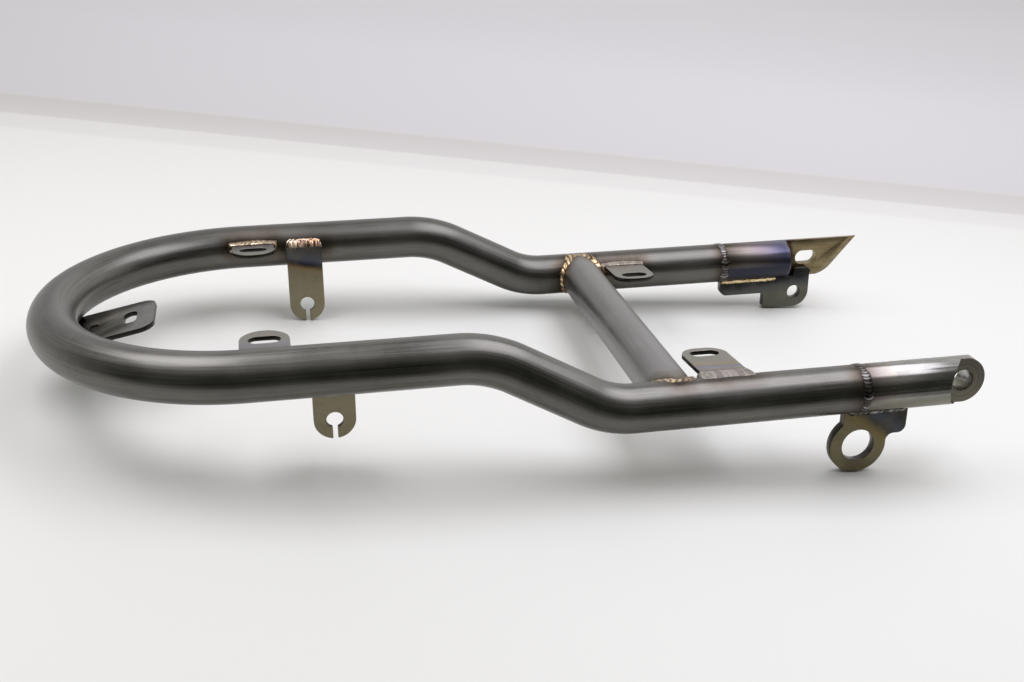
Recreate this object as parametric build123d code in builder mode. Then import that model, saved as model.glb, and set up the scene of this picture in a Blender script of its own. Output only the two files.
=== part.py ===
"""Bolt-on rear seat loop of a motorcycle frame, welded from tube, bar and sheet.

One bent tube makes the hoop round the tail, the two rear rails, an S bend on each
side and the two lower front rails. A cross tube ties the front rails together.
A solid end fitting is plugged into each rail end and welded round the joint, and
sheet steel plates and tabs are welded on for the frame, the seat and the tail.

Frame: +X forwards, +Y to the left of the motorcycle, +Z up, in millimetres.
The origin lies on the middle plane, half way along the loop, level with its
lowest point. Stations are lengths forwards from the centre of the hoop.
"""

from build123d import *
import os
from math import cos, radians, sin, tan

os.makedirs("parts", exist_ok=True)

# Tube and bar stock
tube_od = 25.4
tube_wall = 2.0
spigot_clearance = 0.15
spigot_length = 20.0

# Main loop
rear_half_spacing = 98.5
front_half_spacing = 102.7
rail_drop = 32.7
upper_bend_station = 115.0
s_bend_run = 60.9
upper_bend_radius = 60.5
lower_bend_radius = 51.0
joint_station = 310.5

# Cross tube
cross_tube_ahead = 36.4
cope_trim = 2.0

# Right end fitting, measured forwards from the welded joint
bolt_ahead = 59.4
bolt_hole_d = 12.0
spot_face_d = 26.0
tongue_thickness = 14.3

# Left end fitting, measured forwards from the welded joint
lap_ahead = 46.6
lap_thickness = 6.5
slot_ahead = 62.6
slot_length = 15.5
slot_width = 9.5
tip_ahead = 99.1
tip_lean = 40.2
tip_corner_radius = 16.0
tip_bevel_width = 5.6
tip_bevel_depth = 2.4

# Right lower plate with the large ring
plate_thickness = 5.0
ring_ahead = 2.7
ring_drop = 32.4
ring_hole_d = 18.0
ring_rim = 6.8
ring_ear_front = 29.2
ring_ear_back = -7.0
ring_ear_drop = 27.1
ear_corner_radius = 4.5
ear_neck_radius = 4.0

# Left lower plate with the stepped foot
foot_back = 0.3
foot_heel_drop = 22.1
foot_step_ahead = 31.5
foot_drop = 33.1
foot_hole_ahead = 53.5
foot_hole_d = 9.0
foot_rim = 6.0
foot_heel_radius = 5.0
foot_step_radius = 3.0
lobe_back_ahead = 52.4
lobe_below_slot = 1.2
lobe_radius = 2.5
plate_seat_depth = 1.5

# Sheet steel tabs
tab_thickness = 2.5

keyhole_station = 35.9
keyhole_right_lead = 4.3
keyhole_lean = 3.2
keyhole_width = 21.0
keyhole_hole_d = 8.5
keyhole_slit = 2.5
keyhole_drop = 34.5
keyhole_top = 1.5

rear_tab_station = 5.8
rear_tab_width = 24.6
rear_tab_height = 6.7
rear_tab_reach = 27.6
rear_tab_lead = 3.1
rear_tab_end = 12.3
rear_tab_corner = 12.2
rear_left_tab_tilt = 4.5
rear_right_tab_tilt = 0.0

front_tab_ahead = 27.0
front_tab_width = 25.0
front_tab_height = 10.0
front_tab_reach = 38.4
front_tab_end = 8.8
front_tab_corner = 10.0
front_tab_tilt = 4.5

seat_slot_length = 15.8
seat_slot_width = 8.8

# Tail bracket on the hoop
bracket_width = 41.0
bracket_slope = 11.5
bracket_slot_reach = 38.3
bracket_slot_rise = 9.1
bracket_front = 12.9
bracket_corner_radius = 8.0
bracket_slot_length = 16.0
bracket_slot_width = 7.0
bracket_pin_hole_d = 5.0
bracket_pin_back = 19.5

# Weld beads
bead_leg = 3.2
plate_bead_leg = 2.0
foot_bead_short_of_lap = 7.0
lobe_bead_leg = 3.0
keyhole_bead_overlap = 0.8
girth_bead_width = 5.0
girth_bead_height = 0.9

# Cuts run this far past the stock
cut_past = 4.0

# Levels and stations worked out from the sizes above
tube_r = tube_od / 2
bore_r = tube_r - tube_wall
ring_r = ring_hole_d / 2 + ring_rim
lobe_top_drop = slot_width / 2 + lobe_below_slot
tongue_face_out = tongue_thickness - tube_r
front_z = ring_drop + ring_r
rear_z = front_z + rail_drop
origin_station = (joint_station + tip_ahead - rear_half_spacing - tube_r) / 2

hoop_x = -origin_station
upper_bend_x = hoop_x + upper_bend_station
lower_bend_x = upper_bend_x + s_bend_run
cross_x = lower_bend_x + cross_tube_ahead
joint_x = hoop_x + joint_station


def rail_run(side):
    """Centre line of one rail, from its welded joint back to the hoop."""
    return FilletPolyline(
        (joint_x, side * front_half_spacing, front_z),
        (lower_bend_x, side * front_half_spacing, front_z),
        (upper_bend_x, side * rear_half_spacing, rear_z),
        (hoop_x, side * rear_half_spacing, rear_z),
        radius=[lower_bend_radius, upper_bend_radius],
    )


with BuildLine() as loop_line:
    rail_run(-1)
    ThreePointArc(
        (hoop_x, -rear_half_spacing, rear_z),
        (hoop_x - rear_half_spacing, 0, rear_z),
        (hoop_x, rear_half_spacing, rear_z),
    )
    rail_run(1)


def side_view(x, y, z):
    """Upright plane seen from the right: its x runs forwards and its y runs up."""
    return Plane(origin=(x, y, z), x_dir=(1, 0, 0), z_dir=(0, -1, 0))


def end_view(x, y, z):
    """Plane square to a front rail, seen from the front."""
    return Plane(origin=(x, y, z), x_dir=(0, 1, 0), z_dir=(1, 0, 0))


def tab_plane(x, side, half_spacing, z, tilt):
    """Plane at z whose y runs from the rail on this side to the middle, tilted about X."""
    down = (0, -sin(radians(tilt)), -cos(radians(tilt)))
    return Plane(origin=(x, side * half_spacing, z), x_dir=(side, 0, 0), z_dir=down)


rail_end = {side: (joint_x, side * front_half_spacing, front_z) for side in (-1, 1)}
loop_start = Plane(origin=rail_end[-1], x_dir=(0, 1, 0), z_dir=(-1, 0, 0))
loop_path = loop_line.wires()[0]
pieces = []


def finish(builder, name):
    """Name a finished piece and keep it for the export."""
    builder.part.label = name
    pieces.append(builder.part)


# Outer envelopes of the tubes, used to shape whatever is fitted against them
with BuildPart() as loop_envelope:
    with BuildSketch(loop_start):
        Circle(tube_r)
    sweep(path=loop_path)

with BuildPart() as loop_bead_zone:
    with BuildSketch(loop_start):
        Circle(tube_r + bead_leg)
    sweep(path=loop_path)


# Main loop, one length of tube bent to shape
with BuildPart() as main_loop:
    with BuildSketch(loop_start):
        Circle(tube_r)
        Circle(bore_r, mode=Mode.SUBTRACT)
    sweep(path=loop_path)
finish(main_loop, "main_loop")

# Cross tube, coped to the rails, with the feather edges of the copes dressed back
with BuildPart() as cross_envelope:
    with BuildSketch(side_view(cross_x, 0, front_z)):
        Circle(tube_r)
    extrude(amount=front_half_spacing - cope_trim, both=True)
    add(loop_envelope.part, mode=Mode.SUBTRACT)

with BuildPart() as cross_tube:
    add(cross_envelope.part)
    with BuildSketch(side_view(cross_x, 0, front_z)):
        Circle(bore_r)
    extrude(amount=front_half_spacing, both=True, mode=Mode.SUBTRACT)
finish(cross_tube, "cross_tube")

# Right end fitting: bar with a rounded tongue, spot faced round the bolt hole
with BuildPart() as right_end_fitting:
    with BuildSketch(end_view(*rail_end[-1])):
        Circle(tube_r)
    extrude(amount=bolt_ahead + tube_r)
    with BuildSketch(end_view(*rail_end[-1])):
        Circle(bore_r - spigot_clearance)
    extrude(amount=-spigot_length)
    with BuildSketch(side_view(*rail_end[-1])):
        with Locations((bolt_ahead, 0)):
            Rectangle(tube_od, tube_od + cut_past, align=(Align.MIN, Align.CENTER))
            Circle(tube_r, mode=Mode.SUBTRACT)
    extrude(amount=tube_od, both=True, mode=Mode.SUBTRACT)
    with BuildSketch(side_view(joint_x, -front_half_spacing - tongue_face_out, front_z)):
        with Locations((bolt_ahead, 0)):
            Circle(spot_face_d / 2)
    extrude(amount=tube_od, mode=Mode.SUBTRACT)
    with BuildSketch(side_view(*rail_end[-1])):
        with Locations((bolt_ahead, 0)):
            Circle(bolt_hole_d / 2)
    extrude(amount=tube_od, both=True, mode=Mode.SUBTRACT)
finish(right_end_fitting, "right_end_fitting")

# Left end fitting: bar milled to a flat lap, slotted, and cut off on the slant
tip_run = tube_od * tan(radians(tip_lean))
bevel_plane = Plane(
    origin=(joint_x + tip_ahead - tip_run / 2, front_half_spacing, front_z),
    x_dir=(cos(radians(tip_lean)), 0, -sin(radians(tip_lean))),
    z_dir=(sin(radians(tip_lean)), 0, cos(radians(tip_lean))),
)
with BuildPart() as left_end_fitting:
    with BuildSketch(end_view(*rail_end[1])):
        Circle(tube_r)
    extrude(amount=tip_ahead)
    with BuildSketch(end_view(*rail_end[1])):
        Circle(bore_r - spigot_clearance)
    extrude(amount=-spigot_length)
    with BuildSketch(side_view(*rail_end[1])):
        with BuildLine():
            slant = FilletPolyline(
                (lap_ahead, -tube_r),
                (tip_ahead - tip_run, -tube_r),
                (tip_ahead + cut_past * tan(radians(tip_lean)), tube_r + cut_past),
                radius=tip_corner_radius,
            )
            Polyline(
                slant @ 1,
                (tip_ahead + tube_od, tube_r + cut_past),
                (tip_ahead + tube_od, -tube_r - cut_past),
                (lap_ahead, -tube_r - cut_past),
                slant @ 0,
            )
        make_face()
    extrude(amount=tube_od, both=True, mode=Mode.SUBTRACT)
    with BuildSketch(side_view(*rail_end[1])):
        with Locations((lap_ahead, 0)):
            Rectangle(tip_ahead, tube_od + cut_past, align=(Align.MIN, Align.CENTER))
    extrude(amount=tube_od, mode=Mode.SUBTRACT)
    with BuildSketch(side_view(joint_x, front_half_spacing + lap_thickness, front_z)):
        with Locations((lap_ahead, 0)):
            Rectangle(tip_ahead, tube_od + cut_past, align=(Align.MIN, Align.CENTER))
    extrude(amount=-tube_od, mode=Mode.SUBTRACT)
    with BuildSketch(side_view(*rail_end[1])):
        with Locations((slot_ahead, 0)):
            SlotOverall(slot_length, slot_width)
    extrude(amount=tube_od, both=True, mode=Mode.SUBTRACT)
    with BuildSketch(bevel_plane):
        Polygon(
            (-tip_bevel_width, 0),
            (cut_past, tip_bevel_depth * (1 + cut_past / tip_bevel_width)),
            (cut_past, -cut_past),
            (-tip_bevel_width, -cut_past),
            align=None,
        )
    extrude(amount=tube_od, both=True, mode=Mode.SUBTRACT)
finish(left_end_fitting, "left_end_fitting")

# Right lower plate: a large ring with an ear, hung edge on under the joint
with BuildPart() as right_bar_envelope:
    with BuildSketch(end_view(*rail_end[-1])):
        Circle(tube_r)
    extrude(amount=bolt_ahead, both=True)

with BuildPart() as right_bar_bead_zone:
    with BuildSketch(end_view(*rail_end[-1])):
        Circle(tube_r + plate_bead_leg)
    extrude(amount=bolt_ahead, both=True)

with BuildPart() as right_ring_plate:
    with BuildSketch(side_view(*rail_end[-1])) as ring_outline:
        with Locations(((ring_ear_back + ring_ear_front) / 2, 0)):
            Rectangle(ring_ear_front - ring_ear_back, ring_ear_drop, align=(Align.CENTER, Align.MAX))
        fillet(ring_outline.vertices().group_by(Axis.Y)[0].sort_by(Axis.X)[-1], ear_corner_radius)
        with Locations((ring_ahead, -ring_drop)):
            Circle(ring_r)
        ear_bottom = ring_outline.edges().filter_by(Axis.X).sort_by(Axis.Y)[0]
        fillet(ear_bottom.vertices().sort_by(Axis.X)[0], ear_neck_radius)
        with Locations((ring_ahead, -ring_drop)):
            Circle(ring_hole_d / 2, mode=Mode.SUBTRACT)
    extrude(amount=plate_thickness / 2, both=True)
    add(right_bar_envelope.part, mode=Mode.SUBTRACT)
finish(right_ring_plate, "right_ring_plate")

# Left lower plate: a stepped foot with a hole, its lobe lying against the lap
foot_front = foot_hole_ahead + foot_hole_d / 2 + foot_rim
foot_hole_drop = foot_drop - foot_hole_d / 2 - foot_rim
with BuildPart() as left_bar_envelope:
    with BuildSketch(end_view(*rail_end[1])):
        Circle(tube_r)
    extrude(amount=lap_ahead, both=True)

with BuildPart() as left_bar_bead_zone:
    with BuildSketch(end_view(*rail_end[1])):
        Circle(tube_r + plate_bead_leg)
    extrude(amount=lap_ahead, both=True)

with BuildPart() as left_foot_plate:
    with BuildSketch(side_view(*rail_end[1])) as foot_outline:
        with BuildLine():
            FilletPolyline(
                (foot_back, -tube_r + plate_seat_depth),
                (foot_back, -foot_heel_drop),
                (foot_step_ahead, -foot_heel_drop),
                (foot_step_ahead, -foot_drop),
                (foot_front, -foot_drop),
                (foot_front, -lobe_top_drop),
                (lobe_back_ahead, -lobe_top_drop),
                (lobe_back_ahead, -tube_r + plate_seat_depth),
                radius=[
                    foot_heel_radius, 0, foot_step_radius,
                    foot_hole_d / 2 + foot_rim, lobe_radius, lobe_radius,
                ],
            )
            Line((lobe_back_ahead, -tube_r + plate_seat_depth), (foot_back, -tube_r + plate_seat_depth))
        make_face()
        with Locations((foot_hole_ahead, -foot_hole_drop)):
            Circle(foot_hole_d / 2, mode=Mode.SUBTRACT)
    extrude(amount=plate_thickness)
    add(left_bar_envelope.part, mode=Mode.SUBTRACT)
finish(left_foot_plate, "left_foot_plate")

# Weld beads round the two joints and under the bars along the plates
plates = {-1: right_ring_plate, 1: left_foot_plate}
plate_span = {
    -1: (ring_ear_back + plate_bead_leg, ring_ear_front - plate_bead_leg),
    1: (foot_back, lap_ahead - foot_bead_short_of_lap),
}
plate_middle = {-1: 0, 1: -plate_thickness / 2}
bar_zones = {-1: right_bar_bead_zone, 1: left_bar_bead_zone}
bars = {-1: right_bar_envelope, 1: left_bar_envelope}
hand = {-1: "right", 1: "left"}

for side in (-1, 1):
    with BuildPart() as plate_weld:
        back, front = plate_span[side]
        with BuildSketch(side_view(joint_x, rail_end[side][1] + plate_middle[side], front_z)):
            with Locations(((back + front) / 2, -tube_r)):
                Rectangle(front - back, tube_r)
        extrude(amount=plate_thickness / 2 + plate_bead_leg, both=True)
        add(bar_zones[side].part, mode=Mode.INTERSECT)
        add(bars[side].part, mode=Mode.SUBTRACT)
        add(plates[side].part, mode=Mode.SUBTRACT)
    finish(plate_weld, f"{hand[side]}_plate_weld")

    with BuildPart() as joint_weld:
        with BuildSketch(side_view(*rail_end[side])):
            with BuildLine():
                Polyline(
                    (-girth_bead_width / 2, tube_r),
                    (-girth_bead_width / 4, tube_r + girth_bead_height),
                    (girth_bead_width / 4, tube_r + girth_bead_height),
                    (girth_bead_width / 2, tube_r),
                    close=True,
                )
            make_face()
        revolve(axis=Axis(rail_end[side], (1, 0, 0)))
        add(plates[side].part, mode=Mode.SUBTRACT)
        add(plate_weld.part, mode=Mode.SUBTRACT)
    finish(joint_weld, f"{hand[side]}_joint_weld")

# Weld bead down the front edge of the foot plate's lobe, on the face of the lap
with BuildPart() as left_lobe_weld:
    with BuildSketch(Plane.XY.offset(front_z - tube_r)):
        with Locations((joint_x + foot_front, front_half_spacing)):
            Polygon((0, 0), (lobe_bead_leg, 0), (0, -lobe_bead_leg), align=None)
    extrude(amount=tube_r - lobe_top_drop - lobe_radius)
finish(left_lobe_weld, "left_lobe_weld")

# Weld beads where the cross tube meets the rails
cross_welds = {}
for side in (-1, 1):
    with BuildPart() as cross_weld:
        with BuildSketch(side_view(cross_x, side * front_half_spacing, front_z)):
            Circle(tube_r + bead_leg)
        extrude(amount=side * 2 * tube_r)
        with BuildSketch(end_view(cross_x, side * front_half_spacing, front_z)):
            Circle(tube_r + bead_leg)
        extrude(amount=2 * tube_r, both=True, mode=Mode.INTERSECT)
        add(loop_envelope.part, mode=Mode.SUBTRACT)
        add(cross_envelope.part, mode=Mode.SUBTRACT)
    finish(cross_weld, f"cross_tube_{hand[side]}_weld")
    cross_welds[side] = cross_weld

# Keyhole tabs, against the inner side of each rear rail and leaning to the middle
lean = radians(keyhole_lean)
for side in (-1, 1):
    tab_x = hoop_x + keyhole_station + (keyhole_right_lead if side < 0 else 0)
    keyhole_plane = Plane(
        origin=(tab_x, side * (rear_half_spacing - tube_r * cos(lean)), rear_z + tube_r * sin(lean)),
        x_dir=(1, 0, 0),
        z_dir=(0, -cos(lean), side * sin(lean)),
    )
    with BuildPart() as keyhole_tab:
        with BuildSketch(keyhole_plane):
            with Locations((0, keyhole_top)):
                Rectangle(keyhole_width, keyhole_top + keyhole_drop, align=(Align.CENTER, Align.MAX))
            with Locations((0, -keyhole_drop)):
                Circle(keyhole_width / 2)
                Circle(keyhole_hole_d / 2, mode=Mode.SUBTRACT)
                Rectangle(
                    keyhole_slit, keyhole_width, align=(Align.CENTER, Align.MAX), mode=Mode.SUBTRACT
                )
        extrude(amount=side * tab_thickness)
    finish(keyhole_tab, f"{hand[side]}_keyhole_tab")

    with BuildPart() as keyhole_weld:
        with BuildSketch(keyhole_plane) as bead_side:
            with Locations((0, keyhole_top - keyhole_bead_overlap)):
                Rectangle(keyhole_width, 2 * bead_leg, align=(Align.CENTER, Align.MIN))
        extrude(amount=side * (tab_thickness + keyhole_bead_overlap))
        extrude(bead_side.sketch, amount=-side * tube_r)
        add(loop_bead_zone.part, mode=Mode.INTERSECT)
        add(loop_envelope.part, mode=Mode.SUBTRACT)
        add(keyhole_tab.part, mode=Mode.SUBTRACT)
    finish(keyhole_weld, f"{hand[side]}_keyhole_weld")

# Seat tabs, plates on the inner side of the rails with a slot along each.
# Their welds go through the plate, so the bead takes the place of its root.
seat_tabs = {
    "rear": (rear_half_spacing, hoop_x + rear_tab_station, rear_z + rear_tab_height,
             rear_tab_width, rear_tab_reach, rear_tab_end, rear_tab_corner, rear_tab_lead),
    "front": (front_half_spacing, cross_x + front_tab_ahead, front_z + front_tab_height,
              front_tab_width, front_tab_reach, front_tab_end, front_tab_corner, 0),
}
tab_tilts = {
    ("rear", -1): rear_right_tab_tilt,
    ("rear", 1): rear_left_tab_tilt,
    ("front", -1): front_tab_tilt,
    ("front", 1): front_tab_tilt,
}
for (place, side), tilt in tab_tilts.items():
    spacing, tab_x, top_z, width, reach, end, corner, lead = seat_tabs[place]
    top_plane = tab_plane(tab_x + (lead if side < 0 else 0), side, spacing - reach, top_z, tilt)
    wrap_back = bead_leg if place == "rear" else 0
    with BuildPart() as seat_tab_weld:
        with BuildSketch(top_plane.offset(tab_thickness / 2)):
            with Locations((side * (bead_leg - wrap_back) / 2, -reach)):
                Rectangle(width + bead_leg + wrap_back, 2 * tube_r, align=(Align.CENTER, Align.MIN))
        extrude(amount=tab_thickness / 2 + bead_leg, both=True)
        add(loop_bead_zone.part, mode=Mode.INTERSECT)
        add(loop_envelope.part, mode=Mode.SUBTRACT)
        add(cross_welds[side].part, mode=Mode.SUBTRACT)
    finish(seat_tab_weld, f"{place}_{hand[side]}_seat_weld")

    with BuildPart() as seat_tab:
        with BuildSketch(top_plane) as tab_outline:
            with Locations((0, -reach)):
                Rectangle(width, reach + end, align=(Align.CENTER, Align.MIN))
            fillet(tab_outline.vertices().group_by(Axis.Y)[-1], corner)
            SlotOverall(seat_slot_length, seat_slot_width, mode=Mode.SUBTRACT)
        extrude(amount=tab_thickness)
        add(loop_envelope.part, mode=Mode.SUBTRACT)
        add(seat_tab_weld.part, mode=Mode.SUBTRACT)
        add(cross_welds[side].part, mode=Mode.SUBTRACT)
    finish(seat_tab, f"{place}_{hand[side]}_seat_tab")

# Tail bracket: a plate that slopes up and forwards from the back of the hoop
slope = radians(bracket_slope)
bracket_plane = Plane(
    origin=(hoop_x - rear_half_spacing + bracket_slot_reach, 0, rear_z - tube_r + bracket_slot_rise),
    x_dir=(cos(slope), 0, sin(slope)),
    z_dir=(-sin(slope), 0, cos(slope)),
)
with BuildPart() as tail_bracket:
    with BuildSketch(bracket_plane) as bracket_outline:
        with Locations((bracket_front, 0)):
            Rectangle(bracket_front + bracket_slot_reach, bracket_width, align=(Align.MAX, Align.CENTER))
        fillet(bracket_outline.vertices().group_by(Axis.X)[-1], bracket_corner_radius)
        SlotOverall(bracket_slot_length, bracket_slot_width, rotation=90, mode=Mode.SUBTRACT)
        with Locations((-bracket_pin_back, 0)):
            Circle(bracket_pin_hole_d / 2, mode=Mode.SUBTRACT)
    extrude(amount=-tab_thickness)
    add(loop_envelope.part, mode=Mode.SUBTRACT)
finish(tail_bracket, "tail_bracket")

with BuildPart() as tail_bracket_weld:
    with BuildSketch(bracket_plane):
        with Locations((-bracket_slot_reach, 0)):
            Rectangle(2 * tube_r + bead_leg, bracket_width, align=(Align.MIN, Align.CENTER))
    extrude(amount=-tab_thickness - bead_leg)
    add(loop_bead_zone.part, mode=Mode.INTERSECT)
    add(loop_envelope.part, mode=Mode.SUBTRACT)
    add(tail_bracket.part, mode=Mode.SUBTRACT)
finish(tail_bracket_weld, "tail_bracket_weld")

for piece in pieces:
    export_step(piece, f"parts/{piece.label}.step")
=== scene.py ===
"""Dressed model of a bare steel rear subframe of a motorcycle, on a pale table.

The bent tube, the cross tube, the turned end fittings and the cut plates keep the
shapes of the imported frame. Tubes and weld beads are surfaces worked out with numpy,
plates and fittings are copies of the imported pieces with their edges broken, and
each finish is a procedural material. Lengths are metres, +X runs forwards along the
rails, +Y to the machine's left and +Z up.
"""

from __future__ import annotations

import logging
import math
from dataclasses import dataclass, field
from enum import Enum
from typing import Sequence

import bmesh
import bpy
import numpy as np
from mathutils import Matrix, Vector


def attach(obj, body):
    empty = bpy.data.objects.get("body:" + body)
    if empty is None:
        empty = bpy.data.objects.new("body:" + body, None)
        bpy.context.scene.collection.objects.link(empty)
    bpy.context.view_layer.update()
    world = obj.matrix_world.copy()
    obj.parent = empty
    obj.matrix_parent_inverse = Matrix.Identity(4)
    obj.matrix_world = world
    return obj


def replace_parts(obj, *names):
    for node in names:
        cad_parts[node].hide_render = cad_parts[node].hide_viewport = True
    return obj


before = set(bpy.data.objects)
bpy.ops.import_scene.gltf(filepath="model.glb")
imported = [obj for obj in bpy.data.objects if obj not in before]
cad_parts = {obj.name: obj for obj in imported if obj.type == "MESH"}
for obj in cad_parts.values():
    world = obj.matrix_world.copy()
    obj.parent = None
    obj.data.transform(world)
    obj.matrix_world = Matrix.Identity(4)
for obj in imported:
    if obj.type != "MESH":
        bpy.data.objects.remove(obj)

log = logging.getLogger("subframe")
MM = 0.001
SHARP = math.radians(38)
GENTLE = math.radians(1.0)
COPLANAR = math.radians(0.5)
SKIN_DOUBLES = 1e-7
COPY_DOUBLES = 2e-6
RELIEF = 0.03 * MM
NO_LENGTH = 1e-12
BODY = "root"

Colour = tuple[float, float, float]
Point = tuple[float, float, float]
Stops = Sequence[tuple[float, Colour]]
Socket = bpy.types.NodeSocket
FORWARDS: Point = (1.0, 0.0, 0.0)
LEFTWARDS: Point = (0.0, 1.0, 0.0)
UPWARDS: Point = (0.0, 0.0, 1.0)


class Side(Enum):
    """The two sides of the machine, as the sign of Y."""

    RIGHT = -1
    LEFT = 1

    @property
    def hand(self) -> str:
        """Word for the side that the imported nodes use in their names."""
        return self.name.lower()


@dataclass(frozen=True)
class LoopSizes:
    """Sizes of the bent tube and where things stand along it, in metres."""

    tube_radius: float = 12.7 * MM
    rear_half: float = 98.5 * MM
    front_half: float = 102.7 * MM
    hoop_x: float = -149.2 * MM
    upper_bend_x: float = -34.2 * MM
    lower_bend_x: float = 26.7 * MM
    joint_x: float = 161.3 * MM
    cross_x: float = 63.1 * MM
    rear_z: float = 80.9 * MM
    front_z: float = 48.2 * MM
    upper_bend_radius: float = 60.5 * MM
    lower_bend_radius: float = 51.0 * MM

    def half(self, place: str) -> float:
        """Half spacing of the rear or the front rails."""
        return self.rear_half if place == "rear" else self.front_half

    def level(self, place: str) -> float:
        """Height of the centre of the rear or the front rails."""
        return self.rear_z if place == "rear" else self.front_z

    def chord(self, height: np.ndarray | float) -> np.ndarray:
        """Half width of the tube at a height above its centre: root of radius squared less height squared."""
        return np.sqrt(np.maximum(self.tube_radius ** 2 - np.square(height), 0.0))


SIZES = LoopSizes()


def tones(*rows: tuple[int, int, int, int]) -> Stops:
    """Stops of a ramp, from rows of place, red, green and blue in thousandths."""
    return tuple((place / 1000, tuple(part / 1000 for part in colour)) for place, *colour in rows)


class Graph:
    """Adds shader nodes to a material or a world and links them, one short call each.

    The Mix node's sockets share their names, so those for colours go by number.
    """

    MIX_AMOUNT, MIX_FIRST, MIX_SECOND, MIX_COLOUR = 0, 6, 7, 2

    def __init__(self, owner: bpy.types.Material | bpy.types.World) -> None:
        """Work on the node tree of a material or a world."""
        self.owner = owner
        self.owner.use_nodes = True
        self.tree = self.owner.node_tree

    @classmethod
    def material(cls, name: str) -> Graph:
        """Start a new material of that name."""
        return cls(bpy.data.materials.new(name))

    def feed(self, socket: Socket, value: object) -> None:
        """Link a socket into an input, or set the input to a plain value.

        Args:
            socket: the input.
            value: a socket or a plain value; a colour gets an alpha of one.
        """
        if isinstance(value, bpy.types.NodeSocket):
            self.tree.links.new(value, socket)
        elif isinstance(value, tuple) and socket.type == "RGBA":
            socket.default_value = (*value, 1.0)
        else:
            socket.default_value = value

    def add(self, kind: str, inputs: dict[str | int, object] | Sequence[object] = (),
            output: str | int = 0, **settings: object) -> Socket:
        """Add a node, set it and feed it.

        Args:
            kind: Blender's node type.
            inputs: sockets or plain values, by the inputs' names or numbers, or in their order.
            output: name or number of the output that is wanted.
            settings: attributes to set on the node.

        Returns:
            That output.
        """
        made = self.tree.nodes.new(kind)
        for key, value in settings.items():
            setattr(made, key, value)
        for key, value in inputs.items() if isinstance(inputs, dict) else enumerate(inputs):
            self.feed(made.inputs[key], value)
        return made.outputs[output]

    def coordinates(self, kind: str) -> Socket:
        """Object or UV coordinates of the piece, or the view direction in a world."""
        return self.add("ShaderNodeTexCoord", output=kind)

    def attribute(self, name: str) -> Socket:
        """Value of a number kept on the piece's vertices."""
        return self.add("ShaderNodeAttribute", output="Fac", attribute_name=name)

    def ray(self, kind: str) -> Socket:
        """One for rays of that kind and nought for others."""
        return self.add("ShaderNodeLightPath", output=kind)

    def noise(self, vector: Socket, scale: float | Point, detail: float = 5.0,
              rough: float = 0.6) -> Socket:
        """Cloudy noise from 0 to 1.

        Args:
            vector: the coordinates.
            scale: clouds per unit, alike on all axes or one number for each.
            detail: octaves.
            rough: strength of the finer octaves.

        Returns:
            The noise value.
        """
        if isinstance(scale, tuple):
            vector, scale = self.add("ShaderNodeMapping", {"Vector": vector, "Scale": scale}), 1.0
        return self.add("ShaderNodeTexNoise", {
            "Vector": vector, "Scale": scale, "Detail": detail, "Roughness": rough}, "Fac")

    def math(self, operation: str, *values: object) -> Socket:
        """Arithmetic on sockets or numbers."""
        return self.add("ShaderNodeMath", values, operation=operation)

    def vector_math(self, operation: str, *values: object, output: str = "Vector") -> Socket:
        """Arithmetic on vectors, read as a vector or, by the output Value, as a number."""
        return self.add("ShaderNodeVectorMath", values, output, operation=operation)

    def along(self, vector: Socket, direction: Point, start: Point = (0.0, 0.0, 0.0)) -> Socket:
        """Distance from a start point along a direction: the dot product of the two."""
        offset = self.vector_math("SUBTRACT", vector, start)
        return self.vector_math("DOT_PRODUCT", offset, direction, output="Value")

    def blend(self, *shares: tuple[Socket, float]) -> Socket:
        """Sum of values, each times its share."""
        total: object = 0.0
        for value, share in shares:
            total = self.math("MULTIPLY_ADD", value, share, total)
        return total

    def strayed(self, value: Socket, noise: Socket, amount: float) -> Socket:
        """Value made uneven by noise, by up to half the amount either way."""
        return self.math("MULTIPLY_ADD", self.math("SUBTRACT", noise, 0.5), amount, value)

    def spread(self, value: Socket, low: float, high: float, to_low: float = 0.0,
               to_high: float = 1.0) -> Socket:
        """Value eased from one range into another and held at its ends."""
        return self.add("ShaderNodeMapRange", (value, low, high, to_low, to_high), "Result",
                        interpolation_type="SMOOTHSTEP")

    def contrast(self, value: Socket, either_way: float, to_low: float = 0.0,
                 to_high: float = 1.0) -> Socket:
        """Value eased from a range about one half, so far either way, into another."""
        return self.spread(value, 0.5 - either_way, 0.5 + either_way, to_low, to_high)

    def fall(self, value: Socket, low: float, high: float) -> Socket:
        """One up to the low end of a range, eased to nought at its high end."""
        return self.spread(value, low, high, 1.0, 0.0)

    def ramp(self, value: Socket, stops: Stops) -> Socket:
        """Colour read along a list of stops.

        Args:
            value: position along the ramp, 0 to 1.
            stops: positions with their colours.

        Returns:
            The colour.
        """
        made = self.tree.nodes.new("ShaderNodeValToRGB")
        line = made.color_ramp
        while len(line.elements) < len(stops):
            line.elements.new(1.0)
        for element, (place, colour) in zip(line.elements, stops):
            element.position = place
            element.color = (*colour, 1.0)
        self.feed(made.inputs["Fac"], value)
        return made.outputs["Color"]

    def mix(self, amount: object, first: object, second: object) -> Socket:
        """Two colours mixed by an amount."""
        inputs = {self.MIX_AMOUNT: amount, self.MIX_FIRST: first, self.MIX_SECOND: second}
        return self.add("ShaderNodeMix", inputs, self.MIX_COLOUR, data_type="RGBA")

    def bump(self, height: Socket, strength: float, depth: float = RELIEF) -> Socket:
        """Surface relief from a height value, in metres of depth."""
        return self.add("ShaderNodeBump", {"Strength": strength, "Distance": depth, "Height": height})

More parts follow.
